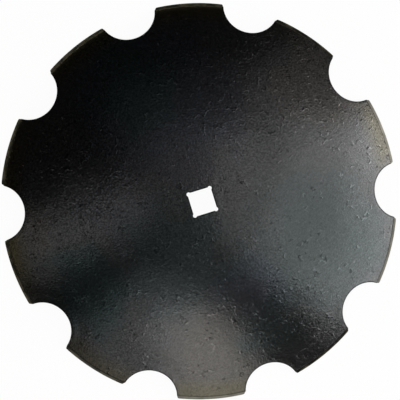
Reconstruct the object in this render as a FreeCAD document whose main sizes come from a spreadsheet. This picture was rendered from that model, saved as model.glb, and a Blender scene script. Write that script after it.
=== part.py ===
"""Notched harrow disc blade: one dished steel plate for a square gang axle.

The blade is a cap of a spherical shell: its domed and hollow faces are parts of two spheres with one
centre, so the plate is equally thick all over. It has a blunt cutting rim with a bevel ground on the domed
side, round notches punched in from the rim, and a square axle hole with a round relief in each corner. The
rim and its bevel are turned about the axis, and the hole and the notches are cut straight through.

Frame: +Z along the blade's axis, towards the domed side. The origin is on the axis, in the plane of the
cutting edge, which is the plane that the blade lies on. X and Y are square to the sides of the axle hole.
Lengths are in millimetres and angles in degrees.
"""

import FreeCAD
import Part

import math
import os

import Sketcher

NODE = "disc_blade"
PARTS_FOLDER = "parts"

# name, value, what it is
SIZES = [
    ("disc_diameter", 508.0, "across the cutting edge: 20 inches"),
    ("plate_thickness", 4.0, "of the plate, square to its faces"),
    ("dish_depth", 64.0, "on the axis, from the cutting edge's plane to the hollow face"),
    ("edge_land", 1.2, "height of the blunt rim left under the bevel"),
    ("bevel_angle", 52.0, "of the bevel from the cutting edge's plane"),
    ("notch_count", 10, "notches, evenly spaced"),
    ("notch_radius", 35.6, "of each notch"),
    ("notch_pitch_radius", 257.8, "from the axis to a notch's centre, just outside the rim"),
    ("first_notch_angle", -13.8, "of the first notch's centre from the X axis"),
    ("axle_square", 30.0, "across the hole's flats: clears a 1 1/8 inch axle"),
    ("relief_radius", 2.6, "of the round relief in each corner of the hole"),
    ("relief_inset", 1.45, "from each of a corner's two flats in to the relief's centre"),
    ("relief_count", 4, "corners of the hole"),
]

# The hollow face meets the cutting edge's plane at the rim and stands dish_depth above it on the axis.
HOLLOW_RADIUS = "((Sizes.disc_diameter / 2) ^ 2 + Sizes.dish_depth ^ 2) / (2 * Sizes.dish_depth)"
DOMED_RADIUS = f"{HOLLOW_RADIUS} + Sizes.plate_thickness"
SPHERES_HEIGHT = f"Sizes.dish_depth - {HOLLOW_RADIUS}"

# How Sketcher names the points of an edge, the sketch's own origin, and its vertical axis.
START, END, CENTRE = 1, 2, 3
ORIGIN = (-1, 1)
VERTICAL_AXIS = -2


def add_sheet(doc):
    """The driving dimensions: one row each, the value in column B under the name as its alias."""
    sheet = doc.addObject("Spreadsheet::Sheet", "Sizes")
    for row, (name, value, meaning) in enumerate(SIZES, start=1):
        sheet.set(f"A{row}", name)
        sheet.set(f"B{row}", str(value))
        sheet.set(f"C{row}", meaning)
        sheet.setAlias(f"B{row}", name)
    doc.recompute()
    return sheet


def origin_feature(body, role):
    """The body's own origin plane or axis with this role."""
    return next(feature for feature in body.Origin.OriginFeatures if feature.Role == role)


def attach(item, body, plane):
    """Lays a sketch or a primitive on one of the body's own origin planes."""
    item.AttachmentSupport = [(origin_feature(body, plane), "")]
    item.MapMode = "FlatFace"


def vector(x, y):
    """A point in a sketch's plane."""
    return FreeCAD.Vector(x, y, 0)


def draw_loop(sketch, corners):
    """Straight lines from corner to corner and back to the first, joined end to end."""
    nexts = corners[1:] + corners[:1]
    lines = [sketch.addGeometry(Part.LineSegment(*ends), False) for ends in zip(corners, nexts)]
    for line, following in zip(lines, lines[1:] + lines[:1]):
        constrain(sketch, "Coincident", line, END, following, START)
    return lines


def draw_circle(sketch, centre, radius):
    """One circle."""
    return sketch.addGeometry(Part.Circle(centre, FreeCAD.Vector(0, 0, 1), radius), False)


def constrain(sketch, kind, *places):
    """Adds a constraint that has no dimension."""
    sketch.addConstraint(Sketcher.Constraint(kind, *places))


def dimension(sketch, name, expression, kind, *places_and_value):
    """Adds a named dimension and binds it to the sheet. Its value is the one that is drawn first."""
    index = sketch.addConstraint(Sketcher.Constraint(kind, *places_and_value))
    sketch.renameConstraint(index, name)
    sketch.setExpression(f"Constraints.{name}", expression)


def draw_rim_tool(sketch, sheet):
    """Half the section of all that is turned away from the cap: what is outside its rim or well below it.

    Only two of its sides cut: the upright one that leaves the blunt land, and the bevel, which leans in
    over the rim until it is clear of the domed face.
    """
    rim = sheet.disc_diameter / 2
    depth = sheet.dish_depth
    beyond = 3 * sheet.disc_diameter
    bevel_turn = math.pi - math.radians(sheet.bevel_angle)
    bevel_reach = 4 * sheet.plate_thickness
    land_top = vector(rim, sheet.edge_land)
    bevel_top = land_top + bevel_reach * vector(math.cos(bevel_turn), math.sin(bevel_turn))
    corners = [
        vector(0, -depth),
        vector(rim, -depth),
        land_top,
        bevel_top,
        vector(bevel_top.x, beyond),
        vector(beyond, beyond),
        vector(beyond, -beyond),
        vector(0, -beyond),
    ]
    under, land, bevel, over, top, outside, bottom, axis = draw_loop(sketch, corners)
    for line in (under, top, bottom):
        constrain(sketch, "Horizontal", line)
    for line in (land, over, outside, axis):
        constrain(sketch, "Vertical", line)
    constrain(sketch, "PointOnObject", under, START, VERTICAL_AXIS)
    dimension(sketch, "RimRadius", "Sizes.disc_diameter / 2", "Distance", under, rim)
    dimension(sketch, "Depth", "Sizes.dish_depth", "DistanceY", under, START, *ORIGIN, depth)
    dimension(sketch, "Land", "Sizes.edge_land", "DistanceY", *ORIGIN, land, END, sheet.edge_land)
    dimension(sketch, "BevelTurn", "180 - Sizes.bevel_angle", "Angle", bevel, bevel_turn)
    dimension(sketch, "BevelReach", "4 * Sizes.plate_thickness", "Distance", bevel, bevel_reach)
    dimension(sketch, "Outside", "3 * Sizes.disc_diameter", "Distance", bottom, beyond)
    dimension(sketch, "Top", "3 * Sizes.disc_diameter", "DistanceY", *ORIGIN, top, START, beyond)
    dimension(sketch, "Bottom", "3 * Sizes.disc_diameter", "DistanceY", bottom, START, *ORIGIN, beyond)


def draw_axle_hole(sketch, sheet):
    """A square about the origin, its sides along X and Y."""
    width = sheet.axle_square
    half = width / 2
    corners = [vector(-half, -half), vector(half, -half), vector(half, half), vector(-half, half)]
    front, right, back, left = draw_loop(sketch, corners)
    for line in (front, back):
        constrain(sketch, "Horizontal", line)
    for line in (right, left):
        constrain(sketch, "Vertical", line)
    constrain(sketch, "Symmetric", front, START, back, START, *ORIGIN)
    dimension(sketch, "Width", "Sizes.axle_square", "Distance", front, width)
    dimension(sketch, "Height", "Sizes.axle_square", "Distance", right, width)


def draw_corner_relief(sketch, sheet):
    """A circle in the hole's first corner, wide enough to take the corner away."""
    offset = sheet.axle_square / 2 - sheet.relief_inset
    place = "Sizes.axle_square / 2 - Sizes.relief_inset"
    relief = draw_circle(sketch, vector(offset, offset), sheet.relief_radius)
    dimension(sketch, "ReliefRadius", "Sizes.relief_radius", "Radius", relief, sheet.relief_radius)
    dimension(sketch, "ReliefX", place, "DistanceX", *ORIGIN, relief, CENTRE, offset)
    dimension(sketch, "ReliefY", place, "DistanceY", *ORIGIN, relief, CENTRE, offset)


def draw_notch(sketch, sheet):
    """The first notch: a circle at the end of a spoke that reaches just outside the rim."""
    reach = sheet.notch_pitch_radius
    turn = math.radians(sheet.first_notch_angle)
    centre = reach * vector(math.cos(turn), math.sin(turn))
    spoke = sketch.addGeometry(Part.LineSegment(vector(0, 0), centre), True)
    notch = draw_circle(sketch, centre, sheet.notch_radius)
    constrain(sketch, "Coincident", spoke, START, *ORIGIN)
    constrain(sketch, "Coincident", notch, CENTRE, spoke, END)
    dimension(sketch, "Reach", "Sizes.notch_pitch_radius", "Distance", spoke, reach)
    dimension(sketch, "Turn", "Sizes.first_notch_angle", "Angle", spoke, turn)
    dimension(sketch, "NotchRadius", "Sizes.notch_radius", "Radius", notch, sheet.notch_radius)


def add_sphere(body, kind, name, radius):
    """A whole sphere below the blade. Its poles point along X, so no pole or seam is on the blade."""
    sphere = body.newObject(f"PartDesign::{kind}Sphere", name)
    attach(sphere, body, "XY_Plane")
    poles_along_x = FreeCAD.Rotation(FreeCAD.Vector(0, 1, 0), 90)
    sphere.AttachmentOffset = FreeCAD.Placement(FreeCAD.Vector(0, 0, 0), poles_along_x)
    sphere.setExpression("AttachmentOffset.Base.z", SPHERES_HEIGHT)
    sphere.setExpression("Radius", radius)
    return sphere


def add_turned_cut(body, name, draw, sheet):
    """Turns the drawn section away, once round the axis."""
    sketch = body.newObject("Sketcher::SketchObject", name + "Section")
    attach(sketch, body, "XZ_Plane")
    draw(sketch, sheet)
    groove = body.newObject("PartDesign::Groove", name)
    groove.Profile = sketch
    groove.ReferenceAxis = (sketch, ["V_Axis"])
    groove.Angle = 360
    return groove


def add_through_cut(body, name, draw, sheet):
    """Cuts the drawn shape straight through the plate, upwards from the plane of the rim."""
    sketch = body.newObject("Sketcher::SketchObject", name + "Outline")
    attach(sketch, body, "XY_Plane")
    draw(sketch, sheet)
    pocket = body.newObject("PartDesign::Pocket", name)
    pocket.Profile = sketch
    pocket.Type = "ThroughAll"
    pocket.Reversed = True
    return pocket


def add_ring(body, name, cut, count):
    """Repeats a cut evenly round the axis."""
    ring = body.newObject("PartDesign::PolarPattern", name)
    ring.Originals = [cut]
    ring.Axis = (origin_feature(body, "Z_Axis"), [""])
    ring.Angle = 360
    ring.setExpression("Occurrences", count)
    body.Tip = ring
    return ring


def add_blade(doc, sheet):
    """The blade's body, and the features that take it from a ball to the finished blade, in order."""
    body = doc.addObject("PartDesign::Body", "DiscBlade")
    body.Label = NODE
    dome = add_sphere(body, "Additive", "DomedFace", DOMED_RADIUS)
    rim = add_turned_cut(body, "Rim", draw_rim_tool, sheet)
    hollow = add_sphere(body, "Subtractive", "HollowFace", HOLLOW_RADIUS)
    hole = add_through_cut(body, "AxleHole", draw_axle_hole, sheet)
    relief = add_through_cut(body, "CornerRelief", draw_corner_relief, sheet)
    reliefs = add_ring(body, "CornerReliefs", relief, "Sizes.relief_count")
    notch = add_through_cut(body, "Notch", draw_notch, sheet)
    notches = add_ring(body, "Notches", notch, "Sizes.notch_count")
    doc.recompute()
    return body, [dome, rim, hollow, hole, relief, reliefs, notch, notches]


def check(doc, body, features):
    """Stops if a feature has failed or has cut nothing, or if the blade isn't one sound solid."""
    for item in doc.Objects:
        faults = {"Invalid", "Error"} & set(item.State)
        if faults:
            raise RuntimeError(f"{item.Label} is {', '.join(sorted(faults))}")
    for before, after in zip(features, features[1:]):
        removed = before.Shape.Volume - after.Shape.Volume
        print(f"{after.Name} removes {removed:.1f} mm3")
        if removed <= 0:
            raise RuntimeError(f"{after.Name} cuts nothing")
    shape = body.Shape
    if shape.isNull() or not shape.isValid() or len(shape.Solids) != 1:
        raise RuntimeError(f"{body.Label} is not one valid solid")
    print(f"{body.Label}: {len(shape.Faces)} faces, {shape.Volume:.0f} mm3")


def main():
    doc = FreeCAD.newDocument("HarrowDiscBlade")
    sheet = add_sheet(doc)
    body, features = add_blade(doc, sheet)
    check(doc, body, features)
    os.makedirs(PARTS_FOLDER, exist_ok=True)
    body.Shape.exportStep(os.path.join(PARTS_FOLDER, f"{body.Label}.step"))


main()
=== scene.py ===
"""Dressed model of a notched harrow disc: one dished steel plate with a square axle hole, ten round
notches and a ground bevel round its rim, painted black over rolled scale, lying on a pale studio floor.

The plate is one closed surface worked out on a grid. Columns run from the axle hole out to the rim and
back underneath. Rows run round the axis. Lengths are in metres unless a name ends in _mm.
"""

import math

import bpy
import numpy as np
from mathutils import Matrix, Quaternion, Vector


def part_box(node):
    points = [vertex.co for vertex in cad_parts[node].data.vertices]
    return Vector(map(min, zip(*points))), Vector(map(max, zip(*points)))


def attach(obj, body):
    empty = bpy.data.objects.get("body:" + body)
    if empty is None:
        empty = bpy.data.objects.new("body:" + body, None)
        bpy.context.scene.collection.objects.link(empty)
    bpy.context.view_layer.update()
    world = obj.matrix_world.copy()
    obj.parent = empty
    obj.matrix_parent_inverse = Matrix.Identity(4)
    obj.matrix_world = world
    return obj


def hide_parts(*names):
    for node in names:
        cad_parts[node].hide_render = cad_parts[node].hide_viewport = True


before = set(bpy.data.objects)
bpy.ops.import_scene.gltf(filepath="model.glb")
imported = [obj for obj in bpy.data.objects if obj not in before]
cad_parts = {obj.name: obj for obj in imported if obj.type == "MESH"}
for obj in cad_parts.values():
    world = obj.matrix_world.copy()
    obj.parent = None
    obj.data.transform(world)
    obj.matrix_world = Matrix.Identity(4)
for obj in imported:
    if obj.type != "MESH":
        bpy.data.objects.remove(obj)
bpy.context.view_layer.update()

NODE = "disc_blade"
MM = 0.001
MM_PER_M = 1000.0
TURN = 2 * math.pi

# The plate, as the solid has it. The rim's radius comes from the solid's own box, less a hair's breadth.
BOX_LOW, BOX_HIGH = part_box(NODE)
RIM_CLEARANCE = 0.02 * MM
RIM = (BOX_HIGH.x - BOX_LOW.x) / 2 - RIM_CLEARANCE
DISC_RADIUS = 254 * MM
DISH_DEPTH = 64 * MM
THICKNESS = 4 * MM
HOLLOW_RADIUS = (DISC_RADIUS**2 + DISH_DEPTH**2) / (2 * DISH_DEPTH)
DOMED_RADIUS = HOLLOW_RADIUS + THICKNESS
SPHERES_HEIGHT = DISH_DEPTH - HOLLOW_RADIUS
LAND = 1.2 * MM

NOTCHES = 10
NOTCH_RADIUS = 35.6 * MM
NOTCH_REACH = 257.8 * MM
FIRST_NOTCH = math.radians(-13.8)
PITCH = TURN / NOTCHES

HOLE_HALF = 15 * MM
RELIEF_RADIUS = 2.6 * MM
RELIEF_CENTRE = HOLE_HALF - 1.45 * MM

# The bevel's inner border, ground a little off centre.
BEVEL_BORDER = 249.7 * MM
BEVEL_DRIFT = 0.3 * MM
DRIFT_TURN = math.radians(-20)

# Where the camera's right hand side lies, as a turn from +X.
VIEW_TURN = math.radians(-17.14)

# The pressed face: long waves, sunk by a share of their greatest height, and small round dents. All fade
# out beside the edges.
DENT_SEED = 7
WAVE_COUNT = 40
WAVE_LENGTHS = (30 * MM, 90 * MM)
WAVE_SLOPE = 0.0045
WAVE_SINK = 0.5
DENT_COUNT = 90
DENT_WIDTHS = (3.5 * MM, 8 * MM)
DENT_DEPTHS = (0.01 * MM, 0.05 * MM)
DENT_PLACES = (0.01, 0.97)
DENT_FADE = (3 * MM, 12 * MM)

# The paint: nearly all its look is its gloss, so its colours are those of its reflections.
PAINT_BASE = (0.050, 0.050, 0.0505)
PAINT_TEAL = (0.034, 0.048, 0.0485)
PAINT_BLUE = (0.046, 0.048, 0.057)
PAINT_WARM = (0.0535, 0.0502, 0.0468)
PAINT_OLIVE = (0.053, 0.047, 0.028)
# Painted shade for the pits.
PIT_SHADE_COLOUR = (0.025, 0.026, 0.026)
# Painted shade for every edge's rolled band and for the line at the bevel's border.
EDGE_SHADE = (0.003, 0.003, 0.0025)
# Lighter olive beside the rim at the top and left: partly thinner paint, partly a painted reflection.
THIN_PAINT_AND_REFLECTION = (0.064, 0.058, 0.034)
BEVEL_PAINT = (0.013, 0.013, 0.009)
BEVEL_OLIVE = (0.050, 0.046, 0.031)
# A light steel colour, painted on the bevel as its highlight on the lit side.
BEVEL_HIGHLIGHT_STEEL = (0.40, 0.38, 0.32)
RIM_LINE = (0.050, 0.045, 0.022)
PAINT_ROUGHNESS = 0.22
BEVEL_ROUGHNESS = 0.24
PAINT_METALLIC = 0.96
THIN_AND_REFLECTION_METALLIC = 0.84
GRAZING_TINT = (0.5, 0.5, 0.5, 1.0)

# Soft patches, each with the place of its middle and its reach in millimetres, and its strength.
TEAL_PATCHES = [
    (-37, 160, 85, 0.8), (-168, -66, 70, 0.9), (-58, -54, 95, 0.55),
    (35, -175, 60, 0.5), (5, -88, 50, 0.4), (128, -93, 120, 0.4),
]
BLUE_PATCHES = [(-20, 150, 150, 0.9), (-110, 20, 90, 0.25), (20, -125, 65, 0.9)]
WARM_PATCHES = [
    (178, 106, 75, 0.8), (-165, 139, 50, 0.7), (-150, -15, 45, 0.4),
    (-25, -200, 110, 0.8), (-225, 35, 60, 0.7),
]
SCALED_PATCHES = [
    (120, 120, 110, 0.8), (66, -180, 90, 0.7), (222, 30, 80, 0.5),
    (-70, -120, 60, 0.5), (-123, 79, 90, 0.9),
]
# Where the paint beside the rim is olive, and where it is lighter and less metallic: partly thinner paint,
# partly a painted reflection of grazing light at the top and left.
OLIVE_PATCHES = [
    (-22, 253, 260, 1.0), (-243, 75, 170, 1.0), (-197, -160, 130, 0.6),
    (-66, -245, 100, 0.6), (240, 20, 60, 0.5),
]
THIN_AND_REFLECTION_PATCHES = [(-22, 253, 280, 1.0), (-243, 75, 120, 0.5)]
# Where the paint is smooth, and where it is most speckled.
SMOOTH_PATCHES = [(180, -60, 170, 1.0), (-40, -215, 130, 1.0)]
SPECKLED_PATCHES = [(120, 120, 120, 0.5), (-150, 90, 130, 1.0), (-40, 190, 130, 0.5)]
# Where the bevel takes a light steel colour: a painted highlight along its lit right and lower side.
LIT_BEVEL_PATCHES = [(254, -14, 105, 1.0), (215, -135, 130, 0.6), (-66, -245, 120, 0.5), (-175, -185, 90, 0.1)]
# How far the patches' borders wander, the size of their bays, and the share of the reach that is full.
PATCH_RAG = 45 * MM
RAG_MM = 45
PATCH_HEART = 0.35

# The scale marks. Sizes across first, then heights and depths.
SCALE_PATCH_MM = 26
CREASE_MM = 6.5
PIT_CELL_MM = 9.0
SWIRL_MM = 2.8
FINE_MM = 1.9
CREASE_HEIGHT_MM = 0.1
PIT_DEPTH_MM = 0.2
GRAIN_HEIGHT_MM = 0.12
# How far a heavily scaled patch pushes the cover of marks up.
HEAVY_PUSH = 0.16
# Each ramp, here and below, is where it starts and ends and, unless they are 0 and 1, its values there.
COVER_RAMP = (0.44, 0.60, 0.25, 1.0)
LENGTHS_RAMP = (0.55, 0.63)
PIT_CELLS_RAMP = (0.6, 0.65)
PIT_DOT_RAMP = (0.15, 0.07)
DOTS_RAMP = (0.25, 0.75, -1.0, 1.0)
# How much swirl there is away from the marks, and how much more where they are at their densest.
SWIRL_LEAST = 0.4
SWIRL_MORE = 0.9
# In the values of the noise that lays out the creases: half a crease's width, and how far its painted
# highlight side and painted shade side are from its middle and how wide they are to each side.
CREASE_HALF = 0.12
SIDE_OFFSET = 0.06
SIDE_HALF = 0.07
# How strongly the creases' painted highlight and painted shade show in the colour.
CREASE_LIGHT_STRENGTH = 0.6

# How strong the dots of the speckle are on plain paint, where it is smooth, and what is added where it is
# most speckled. How much less scale there is where the paint is smooth.
PLAIN_DOTS = 0.42
SMOOTH_DOTS = 0.2
MORE_DOTS = 0.3
SMOOTH_LESS_SCALE = 0.25
# How strongly painted shade darkens the pits.
PIT_SHADE = 0.8

# The rolled edge: how wide its band of painted shade is, how ragged and soft the band's border is, the size
# of its bays, and how much rougher the paint is there.
ROLLED_WIDTH_MM = 1.1
ROLLED_RAGGED_MM = 0.5
ROLLED_SOFT_MM = 0.35
BAND_RAG_MM = 7.0
ROLLED_ROUGHER = 0.12

# Ramps over the distance outside the bevel's border, in millimetres.
OLIVE_ZONE = (-30.0, -2.0)
THIN_AND_REFLECTION_ZONE = (-6.0, -0.5)
BEVEL_STEP = (-0.15, 0.15)
# The bevel's streaks: their size, and ramps over them.
STREAK_MM = 14
OLIVE_STREAKS = (0.42, 0.62)
RIM_LINE_STREAKS = (0.38, 0.55)
HIGHLIGHT_STREAKS = (0.3, 0.6, 0.7, 1.0)
# The line beside the rim: a ramp over the distance from the edge, in millimetres.
RIM_LINE_EDGE = (2.4, 1.2)
# The painted shade line at the bevel's border: how far outside it its middle is, a ramp over the distance
# from that middle, in millimetres, and how much of the line is left where the bevel has its painted
# highlight and where the paint beside the rim is lighter.
BORDER_SHADE_MM = 0.35
BORDER_SHADE_RAMP = (1.1, 0.5)
BORDER_SHADE_BY_HIGHLIGHT = (0.05, 0.4, 0.7, 0.12)
BORDER_SHADE_BY_REFLECTION = (0.2, 0.9, 1.0, 0.25)

# The gloss: the size of its clouds, and how far the roughness goes either way in them.
GLOSS_MM = 22
GLOSS_SPREAD = 0.01
GLOSS_RAMP = (0.3, 0.7, PAINT_ROUGHNESS - GLOSS_SPREAD, PAINT_ROUGHNESS + GLOSS_SPREAD)

# The studio: its cards' shade, how much of each is plain white to the camera, and sizes in metres.
CARD_SHADE = 0.8
FLOOR_WHITE_SHARE = 0.96
WALL_WHITE_SHARE = 1.0
FLOOR_REACH = 12.0
FLOOR_HEIGHT = -0.1 * MM
WALL_RADIUS = 10.0
WALL_HEIGHT = 2.0
WALL_SIDES = 48
WORLD_LEVEL = 0.02

LAMP_DISTANCE = 4.0
# name, tilt from overhead, turn from the camera's right, width, height and roll in degrees, level
SOFTBOXES = [
    ("right_spot", 74, 11, 22, 16, 0, 3.0),
    ("right_edge", 68, -2, 66, 16, 0, 2.45),
    ("right_low", 64, -6, 76, 26, -2, 2.65),
    ("lower_right", 52, -32, 17, 21, -1, 0.79),
    ("upper_right", 48, 35, 52, 34, -9, 0.47),
    ("right_middle", 41, -4, 84, 29, -14, 1.91),
    ("right_high", 18, 13, 115, 21, -9, 0.89),
    ("overhead", 8, 1, 400, 40, 8, 0.28),
    ("far", 21, 78, 168, 43, 16, 0.10),
    ("near_low", 69, -90, 70, 14, 0, 1.1),
    ("near", 53, -84, 26, 40, 26, 2.0),
    ("near_wing", 50, -100, 59, 41, -29, 0.83),
    ("left", 38, -165, 24, 51, 7, 0.78),
]

# The camera: sensor and lens in millimetres, how far it sees in metres, and, before it is turned with the
# view, where it stands and which ways its right, its top and its back face.
SENSOR_WIDTH = 36.0
CAMERA_LENS = 117.49
CAMERA_FAR = 100.0
CAMERA_PLACE = Vector((-0.07362, 0.01293, 1.67150))
CAMERA_AXES = ((0.999032, 0, 0.043982), (0.000292, 0.999978, -0.006623), (-0.043981, 0.006630, 0.999010))

# ------------------------------------------------------------------ the plate's surface

# Steps round the plate: along one tooth's rim, round one notch, and round the hole's corners and sides.
RIM_STEPS = 33
NOTCH_STEPS = 37
PITCH_COLUMNS = RIM_STEPS + NOTCH_STEPS + 2
COLUMNS = NOTCHES * PITCH_COLUMNS
HOLE_CORNER_STEPS = COLUMNS // 12
HOLE_SIDE_STEPS = COLUMNS // 4 - HOLE_CORNER_STEPS

# How far in each edge is rolled and how far down, and how the notches' tips are worn.
NOTCH_ROLL = 1.1 * MM
NOTCH_DROP = 0.7 * MM
RIM_ROLL = 0.3 * MM
RIM_DROP = 0.3 * MM
HOLE_ROLL = 1.0 * MM
HOLE_DROP = 0.6 * MM
LOWER_ROLL = 0.4 * MM
LOWER_RIM_ROLL = 0.1 * MM
INSET = 1.4 * MM
TIP_LEAN = 2.2 * MM
TIP_WEAR = (1.2 * MM, 2.3 * MM)
TIP_ROUND = 0.3 * MM

# The rings and rows of the grid, and how each spacing grows.
HOLE_SUPPORT = 1.3 * MM
HOLE_RING = 27 * MM
OUTER_RING = 196 * MM
HOLE_ROWS = 7
RING_ROWS = 62
SPREAD_ROWS = 22
UNDER_HOLE_ROWS = 4
UNDER_RING_ROWS = 15
UNDER_SPREAD_ROWS = 6
HOLE_ROW_POWER = 1.3
RING_EVENNESS = 0.75
SPREAD_ROW_POWER = 1.15
ROLL_TURNS = np.radians([0, 30, 60, 90])
LOWER_TURNS = np.radians([90, 45, 0])
# Where the rows on the bevel are, as shares of its width, and the last of them beside the rolled edge.
BEVEL_SHARES = (0.04, 0.35, 0.7, 0.96)
BESIDE_ROLL = 1.04
SHARP_TURN = math.radians(50)


def polar(radius, turn):
    """Points at these distances from the axis and these turns from +X."""
    return np.stack([radius * np.cos(turn), radius * np.sin(turn)], axis=-1)


def unit(vectors):
    """Each vector divided by its length."""
    return vectors / np.linalg.norm(vectors, axis=-1, keepdims=True)


def bevel_border(turn):
    """The bevel's inner border: a circle whose centre is a little off the axis, so that its distance
    from the axis is the mean plus the drift times the cosine of the turn."""
    return BEVEL_BORDER + BEVEL_DRIFT * np.cos(turn - DRIFT_TURN)


def notch_wall_turn(radius):
    """How far round from a notch's middle its wall crosses the circle of this radius: the angle at the
    axis of a triangle whose sides are the radius, the notch's reach and the notch's own radius."""
    cosine = (radius**2 + NOTCH_REACH**2 - NOTCH_RADIUS**2) / (2 * radius * NOTCH_REACH)
    return np.arccos(cosine)


def rim_columns():
    """The outline and the line inside it, one point of each for each column.

    Each pitch starts at a tip. Its rim steps go round the rim in equal turns to the next tip, one step
    goes down the notch's wall to the bevel's border, the notch steps go round the wall in equal turns
    about the notch's centre, and one step goes up to the next tip. The tips are worn back along the rim,
    one side of a notch more than the other, and a little in from it. The inner line is the bevel's border
    along the rim, leaning away from the notch at each tip, and runs beside the wall in the notch.
    """
    first = FIRST_NOTCH + PITCH * np.arange(NOTCHES)[:, None]
    tip_turn = notch_wall_turn(RIM)
    start_wear, end_wear = (wear / RIM for wear in TIP_WEAR)
    share = np.linspace(0, 1, RIM_STEPS + 1)
    rim_turns = first + tip_turn + start_wear + (PITCH - 2 * tip_turn - start_wear - end_wear) * share
    lean = TIP_LEAN / BEVEL_BORDER
    border_turns = first + tip_turn + lean + (PITCH - 2 * tip_turn - 2 * lean) * share
    at_tip = (share == 0) | (share == 1)
    rim = polar(RIM - TIP_ROUND * at_tip, rim_turns)
    border = polar(bevel_border(border_turns), border_turns)

    notch_turn = first[:, 0] + PITCH
    sides = []
    for side in (-1, 1):
        radius = bevel_border(notch_turn + side * tip_turn)
        turn = notch_turn + side * notch_wall_turn(radius)
        inset_turn = turn + side * INSET / 2 / radius
        sides.append((polar(radius, turn), polar(radius, inset_turn)))
    (down, down_inset), (up, up_inset) = sides

    centre = polar(NOTCH_REACH, notch_turn)
    facing = notch_turn + math.pi
    starts = [np.arctan2(*(p - centre).T[::-1]) for p in (down, up)]
    from_facing = [(s - facing + math.pi) % TURN - math.pi for s in starts]
    share = np.linspace(0, 1, NOTCH_STEPS + 1)[1:-1]
    arc = facing[:, None] + from_facing[0][:, None] * (1 - share) + from_facing[1][:, None] * share
    outward = polar(1.0, arc)
    wall = centre[:, None] + NOTCH_RADIUS * outward
    beside = centre[:, None] + (NOTCH_RADIUS + INSET) * outward

    outline = np.concatenate([rim, down[:, None], wall, up[:, None]], axis=1)
    inner = np.concatenate([border, down_inset[:, None], beside, up_inset[:, None]], axis=1)
    on_rim = np.zeros((NOTCHES, PITCH_COLUMNS))
    on_rim[:, : RIM_STEPS + 1] = 1
    return outline.reshape(-1, 2), inner.reshape(-1, 2), on_rim.reshape(-1)


def hole_columns():
    """The axle hole's outline, one point for each column: a square whose corners are replaced by arcs of
    the relief circles, with each arc and each side divided evenly. It starts in the middle of the corner
    between +X and +Y, and one quarter is turned four times."""
    reach = math.sqrt(RELIEF_RADIUS**2 - (HOLE_HALF - RELIEF_CENTRE) ** 2)
    low = math.atan2(-reach, HOLE_HALF - RELIEF_CENTRE)
    arc = np.linspace(low, math.pi / 2 - low, HOLE_CORNER_STEPS + 1)
    corner = RELIEF_CENTRE + polar(RELIEF_RADIUS, arc)
    side_end = RELIEF_CENTRE - reach
    share = np.linspace(0, 1, HOLE_SIDE_STEPS + 1)[1:-1]
    side = np.stack([side_end * (1 - 2 * share), np.full_like(share, HOLE_HALF)], axis=-1)
    quarter_turn = np.array([[0.0, 1.0], [-1.0, 0.0]])
    middle = HOLE_CORNER_STEPS // 2
    quarter = np.concatenate([corner[middle:], side, corner[:middle] @ quarter_turn])
    turned = [quarter @ np.linalg.matrix_power(quarter_turn, k) for k in range(4)]
    return np.concatenate(turned)


def sphere_height(xy, radius):
    """Height of the sphere of this radius about the plate's centre, above these points."""
    return SPHERES_HEIGHT + np.sqrt(radius**2 - (xy**2).sum(-1))


def domed_height(xy):
    """The domed face: the lower of the domed sphere and the bevel. The bevel rises in a straight line
    from the land at the rim to the domed sphere at its border."""
    radius = np.linalg.norm(xy, axis=-1)
    turn = np.arctan2(xy[..., 1], xy[..., 0])
    border = bevel_border(turn)
    border_height = SPHERES_HEIGHT + np.sqrt(DOMED_RADIUS**2 - border**2)
    bevel = LAND + (RIM - radius) * (border_height - LAND) / (RIM - border)
    return np.minimum(sphere_height(xy, DOMED_RADIUS), bevel)


def smooth_step(value, low, high):
    """0 below low, 1 above high, and 3t^2 - 2t^3 between, where t is the share of the way."""
    share = np.clip((value - low) / (high - low), 0, 1)
    return share * share * (3 - 2 * share)


def edge_distance(xy):
    """How far these points are from the nearest edge, in plan: the rim, a notch's wall, or the hole's
    square."""
    radius = np.linalg.norm(xy, axis=-1)
    from_rim = RIM - radius
    turn = np.arctan2(xy[..., 1], xy[..., 0]) - FIRST_NOTCH
    in_pitch = (turn + PITCH / 2) % PITCH - PITCH / 2
    from_notch = np.linalg.norm(polar(radius, in_pitch) - [NOTCH_REACH, 0], axis=-1) - NOTCH_RADIUS
    from_hole = np.abs(xy).max(axis=-1) - HOLE_HALF
    return np.minimum(np.minimum(from_rim, from_notch), from_hole)


def dent_depth(xy):
    """How far the pressed plate's face is below the true sphere: a sum of long waves with random ways and
    phases, sunk by a share of their greatest height and cut off at the sphere, and small round dents whose
    depth falls off as a bell curve. It fades out beside the edges."""
    rng = np.random.default_rng(DENT_SEED)
    lengths = rng.uniform(*WAVE_LENGTHS, WAVE_COUNT)
    ways = polar(TURN / lengths, rng.uniform(0, TURN, WAVE_COUNT))
    phases = rng.uniform(0, TURN, WAVE_COUNT)
    heights = WAVE_SLOPE * lengths / TURN / math.sqrt(WAVE_COUNT / 2)
    waves = (heights * np.cos(xy @ ways.T + phases)).sum(-1)
    radii = RIM * np.sqrt(rng.uniform(*DENT_PLACES, DENT_COUNT))
    centres = polar(radii, rng.uniform(0, TURN, DENT_COUNT))
    widths = rng.uniform(*DENT_WIDTHS, DENT_COUNT)
    depths = rng.uniform(*DENT_DEPTHS, DENT_COUNT) * rng.uniform(0, 1, DENT_COUNT)
    dents = np.zeros(len(xy))
    for centre, width, depth in zip(centres, widths, depths):
        dents += depth * np.exp(-((xy - centre) ** 2).sum(-1) / width**2)
    depth = np.maximum(heights.sum() * WAVE_SINK + waves, 0) + dents
    return depth * smooth_step(edge_distance(xy), *DENT_FADE)


def between(start, end, shares):
    """Rows of points on straight lines from start to end, at these shares of the way."""
    shares = np.asarray(shares)[:, None, None]
    return start * (1 - shares) + end * shares


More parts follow.
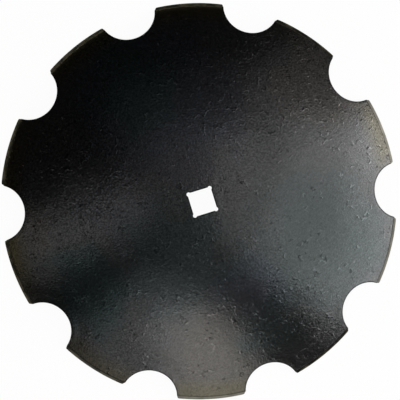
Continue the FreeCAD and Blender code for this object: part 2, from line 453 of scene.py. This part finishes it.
def face_rows(hole_inset, ring_turns, inner, counts):
    """Rows in plan from the line inside the hole's edge to the line inside the rim: straight to a ring
    about the hole, rings that grow evenly, then straight from the outer ring to the inner line."""
    hole_count, ring_count, spread_count = counts
    near_ring, far_ring = polar(HOLE_RING, ring_turns), polar(OUTER_RING, ring_turns)
    from_hole = between(hole_inset, near_ring, np.linspace(0, 1, hole_count + 1)[:-1] ** HOLE_ROW_POWER)
    grow = np.linspace(0, 1, ring_count + 1)
    grown = RING_EVENNESS * grow + (1 - RING_EVENNESS) * grow**2
    rings = np.stack([polar(radius, ring_turns) for radius in HOLE_RING + (OUTER_RING - HOLE_RING) * grown])
    left = 1 - np.linspace(0, 1, spread_count + 1)[1:]
    to_rim = between(far_ring, inner, 1 - left**SPREAD_ROW_POWER)
    return np.concatenate([from_hole, rings, to_rim])


def with_height(rows, height):
    """Plan points with their heights."""
    return np.concatenate([rows, height[..., None]], axis=-1)


def rolled_edge(edge, way, roll, drop, turns, height_at, sign):
    """Rows round an edge: a quarter of an ellipse that starts on the face, its roll in from the edge, and
    ends on the wall, its drop from the face."""
    inset = (1 - np.sin(turns))[:, None, None] * (roll[:, None] * way)
    plan = edge + inset
    return with_height(plan, height_at(plan) - sign * (1 - np.cos(turns))[:, None] * drop)


def plate_surface():
    """All the plate's points, row by row, and three numbers for each: how far it is outside the bevel's
    border and how far from an edge, in millimetres, and whether it is on the domed side."""
    outline, inner, on_rim = rim_columns()
    ring_turns = FIRST_NOTCH + PITCH / 2 + TURN / COLUMNS * (np.arange(COLUMNS) - RIM_STEPS / 2)
    corner_column = round((math.pi / 4 - ring_turns[0]) / (TURN / COLUMNS))
    hole = np.roll(hole_columns(), corner_column, axis=0)
    hole_way = unit(polar(HOLE_RING, ring_turns) - hole)
    rim_way = unit(inner - outline)

    def domed(plan):
        flat = plan.reshape(-1, 2)
        return (domed_height(flat) - dent_depth(flat)).reshape(plan.shape[:-1])

    def hollow(plan):
        return sphere_height(plan, HOLLOW_RADIUS)

    rim_roll = np.where(on_rim, RIM_ROLL, NOTCH_ROLL)
    rim_drop = np.where(on_rim, RIM_DROP, NOTCH_DROP)
    lower_roll = np.where(on_rim, LOWER_RIM_ROLL, LOWER_ROLL)
    hole_roll, hole_drop = np.full(COLUMNS, HOLE_ROLL), np.full(COLUMNS, HOLE_DROP)
    hole_lower = np.full(COLUMNS, LOWER_ROLL)

    hole_inset = hole + hole_way * HOLE_SUPPORT
    top = face_rows(hole_inset, ring_turns, inner, (HOLE_ROWS, RING_ROWS, SPREAD_ROWS))
    beside_roll = outline + rim_way * (rim_roll * BESIDE_ROLL)[:, None]
    top = np.concatenate([top, between(inner, beside_roll, BEVEL_SHARES)])
    under_counts = (UNDER_HOLE_ROWS, UNDER_RING_ROWS, UNDER_SPREAD_ROWS)
    under = face_rows(hole_inset, ring_turns, inner, under_counts)[::-1]
    # Each band of rows, after whether it belongs to the domed side.
    bands = [
        (True, with_height(top, domed(top))),
        (True, rolled_edge(outline, rim_way, rim_roll, rim_drop, ROLL_TURNS, domed, 1)),
        (False, rolled_edge(outline, rim_way, lower_roll, lower_roll, LOWER_TURNS, hollow, -1)),
        (False, with_height(under, hollow(under))),
        (False, rolled_edge(hole, hole_way, hole_lower, hole_lower, LOWER_TURNS[::-1], hollow, -1)),
        (True, rolled_edge(hole, hole_way, hole_roll, hole_drop, ROLL_TURNS[::-1], domed, 1)),
    ]
    upper = np.concatenate([np.full(len(rows), is_domed) for is_domed, rows in bands])
    points = np.concatenate([rows for _, rows in bands])
    plan = points[..., :2]
    radius = np.linalg.norm(plan, axis=-1)
    outside = radius - bevel_border(np.arctan2(plan[..., 1], plan[..., 0]))
    marks = {
        "bevel_mm": outside * MM_PER_M,
        "edge_mm": np.maximum(edge_distance(plan), 0) * MM_PER_M,
        "domed_side": np.broadcast_to(upper[:, None], radius.shape),
    }
    return points, marks


def grid_mesh(name, points, marks):
    """A closed mesh on a grid that joins up both ways, with the marks as attributes of its points. The
    faces are turned over if the volume they hold comes out below nothing."""
    rows, columns = points.shape[:2]
    index = np.arange(rows * columns).reshape(rows, columns)
    after, below = np.roll(index, -1, axis=1), np.roll(index, -1, axis=0)
    across = np.roll(below, -1, axis=1)
    faces = np.stack([index, after, across, below], axis=-1).reshape(-1, 4)
    flat = points.reshape(-1, 3)
    a, b, c, d = (flat[faces[:, k]] for k in range(4))
    volume = (np.cross(b - a, c - a) * a).sum() + (np.cross(c - a, d - a) * a).sum()
    if volume < 0:
        faces = faces[:, ::-1]
    mesh = bpy.data.meshes.new(name)
    mesh.from_pydata(flat.tolist(), [], faces.tolist())
    mesh.shade_smooth()
    mesh.set_sharp_from_angle(angle=SHARP_TURN)
    for mark, values in marks.items():
        layer = mesh.attributes.new(mark, "FLOAT", "POINT")
        layer.data.foreach_set("value", values.astype(np.float32).reshape(-1))
    mesh.update()
    return mesh


def add_plate():
    """The blade itself: it stands for the solid and rides on the only body."""
    points, marks = plate_surface()
    plate = bpy.data.objects.new("blade", grid_mesh("blade", points, marks))
    bpy.context.scene.collection.objects.link(plate)
    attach(plate, "root")
    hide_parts(NODE)
    return plate


# ------------------------------------------------------------------ finishes


def node(tree, kind, sockets=None, **settings):
    """One node, with its settings and its sockets: each socket takes a value or another node's output."""
    made = tree.nodes.new(kind)
    for name, value in settings.items():
        setattr(made, name, value)
    for name, value in (sockets or {}).items():
        socket = made.inputs[name]
        if isinstance(value, bpy.types.NodeSocket):
            tree.links.new(value, socket)
        else:
            socket.default_value = value
    return made


def maths(tree, operation, *values):
    """The result of a Math node."""
    return node(tree, "ShaderNodeMath", dict(enumerate(values)), operation=operation).outputs[0]


def ramp(tree, value, low, high, to_low=0.0, to_high=1.0):
    """The value's smooth step from low to high, given as to_low to to_high."""
    sockets = {"Value": value, "From Min": low, "From Max": high, "To Min": to_low, "To Max": to_high}
    return node(tree, "ShaderNodeMapRange", sockets, interpolation_type="SMOOTHSTEP").outputs["Result"]


def blend(tree, share, first, second, blend_type="MIX"):
    """Two colours mixed. Each is another node's output, or red, green and blue."""
    first, second = ((*c, 1.0) if isinstance(c, tuple) else c for c in (first, second))
    sockets = {0: share, 6: first, 7: second}
    return node(tree, "ShaderNodeMix", sockets, data_type="RGBA", blend_type=blend_type).outputs[2]


def noise(tree, place, size_mm, detail=2.0, roughness=0.5, distortion=0.0, shift=0.0):
    """Cloudy noise whose lumps are about this size, with its pattern moved aside by the shift."""
    if shift:
        aside = (shift, -shift, shift / 3)
        place = node(tree, "ShaderNodeVectorMath", {0: place, 1: aside}, operation="ADD").outputs[0]
    sockets = {
        "Vector": place, "Scale": MM_PER_M / size_mm, "Detail": detail,
        "Roughness": roughness, "Distortion": distortion,
    }
    return node(tree, "ShaderNodeTexNoise", sockets).outputs["Fac"]


def new_group(name, inputs, outputs):
    """An empty shader group with these named inputs and outputs."""
    tree = bpy.data.node_groups.new(name, "ShaderNodeTree")
    for socket, (kind, value) in inputs.items():
        made = tree.interface.new_socket(socket, in_out="INPUT", socket_type=kind)
        if value is not None:
            made.default_value = value
    for socket in outputs:
        tree.interface.new_socket(socket, in_out="OUTPUT", socket_type="NodeSocketFloat")
    return tree, tree.nodes.new("NodeGroupInput").outputs, tree.nodes.new("NodeGroupOutput").inputs


def use_group(tree, group, sockets):
    """A group placed in a material, with its own values."""
    return node(tree, "ShaderNodeGroup", sockets, node_tree=group).outputs


def make_scale_marks():
    """Marks that rolled-in scale leaves under the paint. Short curved creases follow the lines where a
    noise passes its middle value, cut into lengths by a second noise. Pits are small dots in some cells.
    Both come in patches. A fine grain is everywhere in the height, with a swirl that grows with the patches.
    The speckle is what the colour is multiplied by: fine dots, and along each crease a painted highlight on
    one side and painted shade on the other."""
    number, place = "NodeSocketFloat", "NodeSocketVector"
    tree, given, out = new_group(
        "scale_marks",
        {"Vector": (place, None), "Heavy": (number, 0.0), "Crease mm": (number, CREASE_HEIGHT_MM),
         "Pit mm": (number, PIT_DEPTH_MM), "Grain mm": (number, GRAIN_HEIGHT_MM),
         "Dots": (number, PLAIN_DOTS), "Crease light strength": (number, CREASE_LIGHT_STRENGTH)},
        ["Height", "Pits", "Speckle and crease light"],
    )
    where = given["Vector"]
    patches = noise(tree, where, SCALE_PATCH_MM, 2.5, shift=0.37)
    cover = ramp(tree, maths(tree, "MULTIPLY_ADD", given["Heavy"], HEAVY_PUSH, patches), *COVER_RAMP)

    level = maths(tree, "SUBTRACT", noise(tree, where, CREASE_MM, 0.4, 0.4, 0.5), 0.5)
    crease = ramp(tree, maths(tree, "ABSOLUTE", level), CREASE_HALF, 0.0)
    lengths = ramp(tree, noise(tree, where, CREASE_MM, 0.0, shift=0.77), *LENGTHS_RAMP)
    creases = maths(tree, "MULTIPLY", maths(tree, "MULTIPLY", crease, lengths), cover)
    crease_height = maths(tree, "MULTIPLY", creases, given["Crease mm"])

    sockets = {"Vector": where, "Scale": MM_PER_M / PIT_CELL_MM, "Randomness": 1.0}
    cells = node(tree, "ShaderNodeTexVoronoi", sockets).outputs
    cell_value = node(tree, "ShaderNodeSeparateColor", {0: cells["Color"]}).outputs[0]
    chosen = ramp(tree, cell_value, *PIT_CELLS_RAMP)
    pit = maths(tree, "MULTIPLY", ramp(tree, cells["Distance"], *PIT_DOT_RAMP), chosen)
    pit = maths(tree, "MULTIPLY", pit, cover)
    pit_depth = maths(tree, "MULTIPLY", pit, given["Pit mm"])

    swirl = noise(tree, where, SWIRL_MM, 1.0, 0.6, 0.5, shift=0.13)
    fine = noise(tree, where, FINE_MM, 1.0, 0.6, shift=0.41)
    swirl = maths(tree, "MULTIPLY", swirl, maths(tree, "MULTIPLY_ADD", cover, SWIRL_MORE, SWIRL_LEAST))
    grain = maths(tree, "MULTIPLY", maths(tree, "ADD", swirl, fine), given["Grain mm"])

    dots = ramp(tree, noise(tree, where, FINE_MM, 1.0, 0.7, shift=0.64), *DOTS_RAMP)
    speckle = maths(tree, "MULTIPLY_ADD", dots, given["Dots"], 1.0)
    # Each crease's painted highlight on one side and painted shade on the other.
    crease_highlight, crease_shade = (
        ramp(tree, maths(tree, "ABSOLUTE", maths(tree, way, level, SIDE_OFFSET)), SIDE_HALF, 0.0)
        for way in ("SUBTRACT", "ADD")
    )
    seen = maths(tree, "MULTIPLY", lengths, cover)
    sides = maths(tree, "MULTIPLY", maths(tree, "SUBTRACT", crease_highlight, crease_shade), seen)
    speckle = maths(tree, "MULTIPLY_ADD", sides, given["Crease light strength"], speckle)

    height = maths(tree, "SUBTRACT", maths(tree, "ADD", crease_height, grain), pit_depth)
    tree.links.new(height, out["Height"])
    tree.links.new(pit, out["Pits"])
    tree.links.new(speckle, out["Speckle and crease light"])
    return tree


def make_broken_band():
    """A mask that is 1 up to a width from an edge and 0 beyond it, with its border broken up by noise."""
    number, place = "NodeSocketFloat", "NodeSocketVector"
    tree, given, out = new_group(
        "broken_band",
        {"Vector": (place, None), "Distance mm": (number, 0.0), "Width mm": (number, ROLLED_WIDTH_MM),
         "Ragged mm": (number, ROLLED_RAGGED_MM), "Soft mm": (number, ROLLED_SOFT_MM)},
        ["Mask"],
    )
    rag = noise(tree, given["Vector"], BAND_RAG_MM, 3.0, 0.65, shift=0.53)
    rag = maths(tree, "SUBTRACT", rag, 0.5)
    shifted = maths(tree, "MULTIPLY_ADD", rag, given["Ragged mm"], given["Distance mm"])
    low = maths(tree, "SUBTRACT", given["Width mm"], given["Soft mm"])
    high = maths(tree, "ADD", given["Width mm"], given["Soft mm"])
    tree.links.new(ramp(tree, shifted, high, low), out["Mask"])
    return tree


def patch_mask(tree, place, rag, patches):
    """Each round patch's strength in its middle, falling smoothly to 0 at its reach, with the border moved
    about by the rag. Where patches overlap, the stronger one holds."""
    mask = 0.0
    in_plan = node(tree, "ShaderNodeVectorMath", {0: place, 1: (1, 1, 0)}, operation="MULTIPLY").outputs[0]
    for x_mm, y_mm, reach_mm, strength in patches:
        middle = (x_mm * MM, y_mm * MM, 0)
        away = node(tree, "ShaderNodeVectorMath", {0: in_plan, 1: middle}, operation="DISTANCE")
        away = maths(tree, "ADD", away.outputs["Value"], rag)
        reach = reach_mm * MM
        patch = ramp(tree, away, reach, PATCH_HEART * reach, 0.0, strength)
        mask = maths(tree, "MAXIMUM", patch, mask)
    return mask


def painted_steel(scale_marks, broken_band):
    """Thin black paint over rolled scale, with faint patches of teal, blue and brown, and an olive zone
    beside the rim that is lighter at the top and left, partly thinner paint and partly a painted reflection.
    Painted shade darkens the pits, every edge and the bevel's border, a painted highlight and shade run
    along the creases, and the ground bevel has a painted highlight of light steel colour along its lit right
    and lower side."""
    material = bpy.data.materials.new("black_paint_on_steel")
    material.use_nodes = True
    tree = material.node_tree
    tree.nodes.clear()
    place = node(tree, "ShaderNodeTexCoord").outputs["Object"]
    bevel_mm, edge_mm, domed_side = (
        node(tree, "ShaderNodeAttribute", attribute_name=mark).outputs["Fac"]
        for mark in ("bevel_mm", "edge_mm", "domed_side")
    )

    rag = maths(tree, "SUBTRACT", noise(tree, place, RAG_MM, 3.0, 0.55), 0.5)
    rag = maths(tree, "MULTIPLY", rag, 2 * PATCH_RAG)
    lit_bevel_side = patch_mask(tree, place, rag, LIT_BEVEL_PATCHES)
    colour = blend(tree, patch_mask(tree, place, rag, BLUE_PATCHES), PAINT_BASE, PAINT_BLUE)
    colour = blend(tree, patch_mask(tree, place, rag, WARM_PATCHES), colour, PAINT_WARM)
    colour = blend(tree, patch_mask(tree, place, rag, TEAL_PATCHES), colour, PAINT_TEAL)
    beside_rim = ramp(tree, bevel_mm, *OLIVE_ZONE)
    beside_rim = maths(tree, "MULTIPLY", beside_rim, patch_mask(tree, place, rag, OLIVE_PATCHES))
    colour = blend(tree, beside_rim, colour, PAINT_OLIVE)
    # Lighter, less metallic paint beside the rim at the top and left: partly thinner paint, partly a painted
    # reflection of grazing light.
    thin_and_reflection_side = patch_mask(tree, place, rag, THIN_AND_REFLECTION_PATCHES)
    thin_and_reflection = maths(tree, "MULTIPLY", ramp(tree, bevel_mm, *THIN_AND_REFLECTION_ZONE), thin_and_reflection_side)
    colour = blend(tree, thin_and_reflection, colour, THIN_PAINT_AND_REFLECTION)

    smooth = patch_mask(tree, place, rag, SMOOTH_PATCHES)
    heavy = patch_mask(tree, place, rag, SCALED_PATCHES)
    heavy = maths(tree, "MULTIPLY_ADD", smooth, -SMOOTH_LESS_SCALE, heavy)
    dots = ramp(tree, smooth, 0.0, 1.0, PLAIN_DOTS, SMOOTH_DOTS)
    speckled = patch_mask(tree, place, rag, SPECKLED_PATCHES)
    dots = maths(tree, "MULTIPLY_ADD", speckled, MORE_DOTS, dots)
    marks = use_group(tree, scale_marks, {"Vector": place, "Heavy": heavy, "Dots": dots})
    # Painted shade in the pits.
    colour = blend(tree, maths(tree, "MULTIPLY", marks["Pits"], PIT_SHADE), colour, PIT_SHADE_COLOUR)
    # The speckle multiplies in the dots and the creases' painted highlight and shade.
    colour = blend(tree, 1.0, colour, marks["Speckle and crease light"], "MULTIPLY")

    # Painted shade: a near-black band along every edge, where the rolled edges turn away from the light.
    rolled = use_group(tree, broken_band, {"Vector": place, "Distance mm": edge_mm})["Mask"]
    colour = blend(tree, rolled, colour, EDGE_SHADE)

    on_bevel = maths(tree, "MULTIPLY", ramp(tree, bevel_mm, *BEVEL_STEP), domed_side)
    streaks = noise(tree, place, STREAK_MM, 4.0, 0.6, shift=0.4)
    bevel_colour = blend(tree, ramp(tree, streaks, *OLIVE_STREAKS), BEVEL_PAINT, BEVEL_OLIVE)
    rim_line = ramp(tree, streaks, *RIM_LINE_STREAKS)
    rim_line = maths(tree, "MULTIPLY", ramp(tree, edge_mm, *RIM_LINE_EDGE), rim_line)
    bevel_colour = blend(tree, rim_line, bevel_colour, RIM_LINE)
    # Painted highlight: a light steel colour on the bevel along its lit right and lower side.
    bevel_highlight_mask = maths(tree, "MULTIPLY", lit_bevel_side, ramp(tree, streaks, *HIGHLIGHT_STREAKS))
    bevel_colour = blend(tree, bevel_highlight_mask, bevel_colour, BEVEL_HIGHLIGHT_STEEL)
    # Painted shade: a dark line along the crease at the bevel's border.
    from_line = maths(tree, "ABSOLUTE", maths(tree, "SUBTRACT", bevel_mm, BORDER_SHADE_MM))
    border_shade = maths(tree, "MULTIPLY", ramp(tree, from_line, *BORDER_SHADE_RAMP), domed_side)
    for cause, fading in ((lit_bevel_side, BORDER_SHADE_BY_HIGHLIGHT), (thin_and_reflection_side, BORDER_SHADE_BY_REFLECTION)):
        border_shade = maths(tree, "MULTIPLY", border_shade, ramp(tree, cause, *fading))
    colour = blend(tree, on_bevel, colour, bevel_colour)
    colour = blend(tree, border_shade, colour, EDGE_SHADE)

    roughness = ramp(tree, noise(tree, place, GLOSS_MM, 4.0, 0.6, shift=0.9), *GLOSS_RAMP)
    roughness = maths(tree, "MULTIPLY_ADD", on_bevel, BEVEL_ROUGHNESS - PAINT_ROUGHNESS, roughness)
    roughness = maths(tree, "MULTIPLY_ADD", rolled, ROLLED_ROUGHER, roughness)

    paint_metallic = maths(tree, "MULTIPLY_ADD", thin_and_reflection, THIN_AND_REFLECTION_METALLIC - PAINT_METALLIC, PAINT_METALLIC)
    metallic = maths(tree, "MAXIMUM", paint_metallic, on_bevel)
    sockets = {"Strength": 1.0, "Distance": MM, "Height": marks["Height"]}
    bump = node(tree, "ShaderNodeBump", sockets).outputs["Normal"]
    shader = node(
        tree, "ShaderNodeBsdfPrincipled",
        {"Base Color": colour, "Roughness": roughness, "Metallic": metallic, "Normal": bump,
         "Specular Tint": GRAZING_TINT},
    )
    node(tree, "ShaderNodeOutputMaterial", {"Surface": shader.outputs[0]})
    return material


def pale_surface(name, shade, plain_share):
    """Pale studio card: for the camera, and in gloss and glass, mostly plain white, with a share of the
    lit card so that shadows stay. For all other light it is an ordinary matt card."""
    material = bpy.data.materials.new(name)
    material.use_nodes = True
    tree = material.node_tree
    tree.nodes.clear()
    path = node(tree, "ShaderNodeLightPath").outputs
    seen = maths(tree, "MAXIMUM", path["Is Camera Ray"], path["Is Glossy Ray"])
    seen = maths(tree, "MAXIMUM", seen, path["Is Transmission Ray"])
    share = maths(tree, "MULTIPLY", seen, plain_share)
    matt = node(tree, "ShaderNodeBsdfDiffuse", {"Color": (shade, shade, shade, 1)}).outputs[0]
    white = node(tree, "ShaderNodeEmission", {"Color": (1, 1, 1, 1), "Strength": 1.0}).outputs[0]
    mixed = node(tree, "ShaderNodeMixShader", {0: share, 1: matt, 2: white})
    node(tree, "ShaderNodeOutputMaterial", {"Surface": mixed.outputs[0]})
    return material


# ------------------------------------------------------------------ studio


def add_stage(name, points, faces, material):
    """A piece of the studio: plain faces, not part of the object."""
    mesh = bpy.data.meshes.new(name)
    mesh.from_pydata(points, [], faces)
    mesh.materials.append(material)
    stage = bpy.data.objects.new(name, mesh)
    bpy.context.scene.collection.objects.link(stage)


def add_floor():
    """A wide floor just under the rim, and a low wall of flat sides that stands round on it."""
    card = pale_surface("pale_card", CARD_SHADE, FLOOR_WHITE_SHARE)
    r, z = FLOOR_REACH, FLOOR_HEIGHT
    add_stage("floor", [(-r, -r, z), (r, -r, z), (r, r, z), (-r, r, z)], [(0, 1, 2, 3)], card)
    n = WALL_SIDES
    low = [(*polar(WALL_RADIUS, TURN * k / n), z) for k in range(n)]
    high = [(x, y, WALL_HEIGHT) for x, y, _ in low]
    walls = [(k, (k + 1) % n, n + (k + 1) % n, n + k) for k in range(n)]
    add_stage("backdrop", low + high, walls, pale_surface("white_card", CARD_SHADE, WALL_WHITE_SHARE))


def add_world():
    """Dim, even light from all round."""
    world = bpy.data.worlds.new("studio")
    bpy.context.scene.world = world
    world.use_nodes = True
    tree = world.node_tree
    tree.nodes.clear()
    dim = node(tree, "ShaderNodeBackground", {"Color": (1, 1, 1, 1), "Strength": WORLD_LEVEL}).outputs[0]
    node(tree, "ShaderNodeOutputWorld", {"Surface": dim})


def add_softbox(name, tilt, turn, width, height, roll, level):
    """A soft rectangular lamp that faces the blade. Tilt is its turn down from overhead, and turn is how far
    round it stands from the camera's right. Width is how far round it reaches and height is how far up its
    arc, and roll turns it about its own middle. All are in degrees. Level is how bright its face is, where
    1 is white."""
    lamp = bpy.data.lights.new(name, "AREA")
    lamp.shape = "RECTANGLE"
    lamp.size = LAMP_DISTANCE * math.radians(width) * math.sin(math.radians(tilt))
    lamp.size_y = LAMP_DISTANCE * math.radians(height)
    lamp.energy = level * math.pi * lamp.size * lamp.size_y
    holder = bpy.data.objects.new(name, lamp)
    bpy.context.scene.collection.objects.link(holder)
    around = math.radians(turn) + VIEW_TURN
    down = math.radians(tilt)
    way = Vector((math.sin(down) * math.cos(around), math.sin(down) * math.sin(around), math.cos(down)))
    holder.location = way * LAMP_DISTANCE
    rolled = Quaternion((0, 0, 1), math.radians(roll))
    holder.rotation_euler = ((-way).to_track_quat("-Z", "Y") @ rolled).to_euler()
    holder.visible_camera = False


def add_camera():
    """The camera: almost straight above the blade, a little to its own left of the axis."""
    data = bpy.data.cameras.new("camera")
    data.sensor_width = SENSOR_WIDTH
    data.lens = CAMERA_LENS
    camera = bpy.data.objects.new("camera", data)
    bpy.context.scene.collection.objects.link(camera)
    bpy.context.scene.camera = camera
    right, up, back = (Vector(v) for v in CAMERA_AXES)
    turned = Matrix.Rotation(VIEW_TURN, 4, "Z")
    axes = Matrix((right, up, back)).transposed().to_4x4()
    camera.matrix_world = turned @ Matrix.Translation(CAMERA_PLACE) @ axes
    data.clip_end = CAMERA_FAR


scale_marks = make_scale_marks()
broken_band = make_broken_band()
plate = add_plate()
plate.data.materials.append(painted_steel(scale_marks, broken_band))
add_floor()
add_world()
for softbox in SOFTBOXES:
    add_softbox(*softbox)
add_camera()
bpy.context.scene.view_settings.view_transform = "Standard"
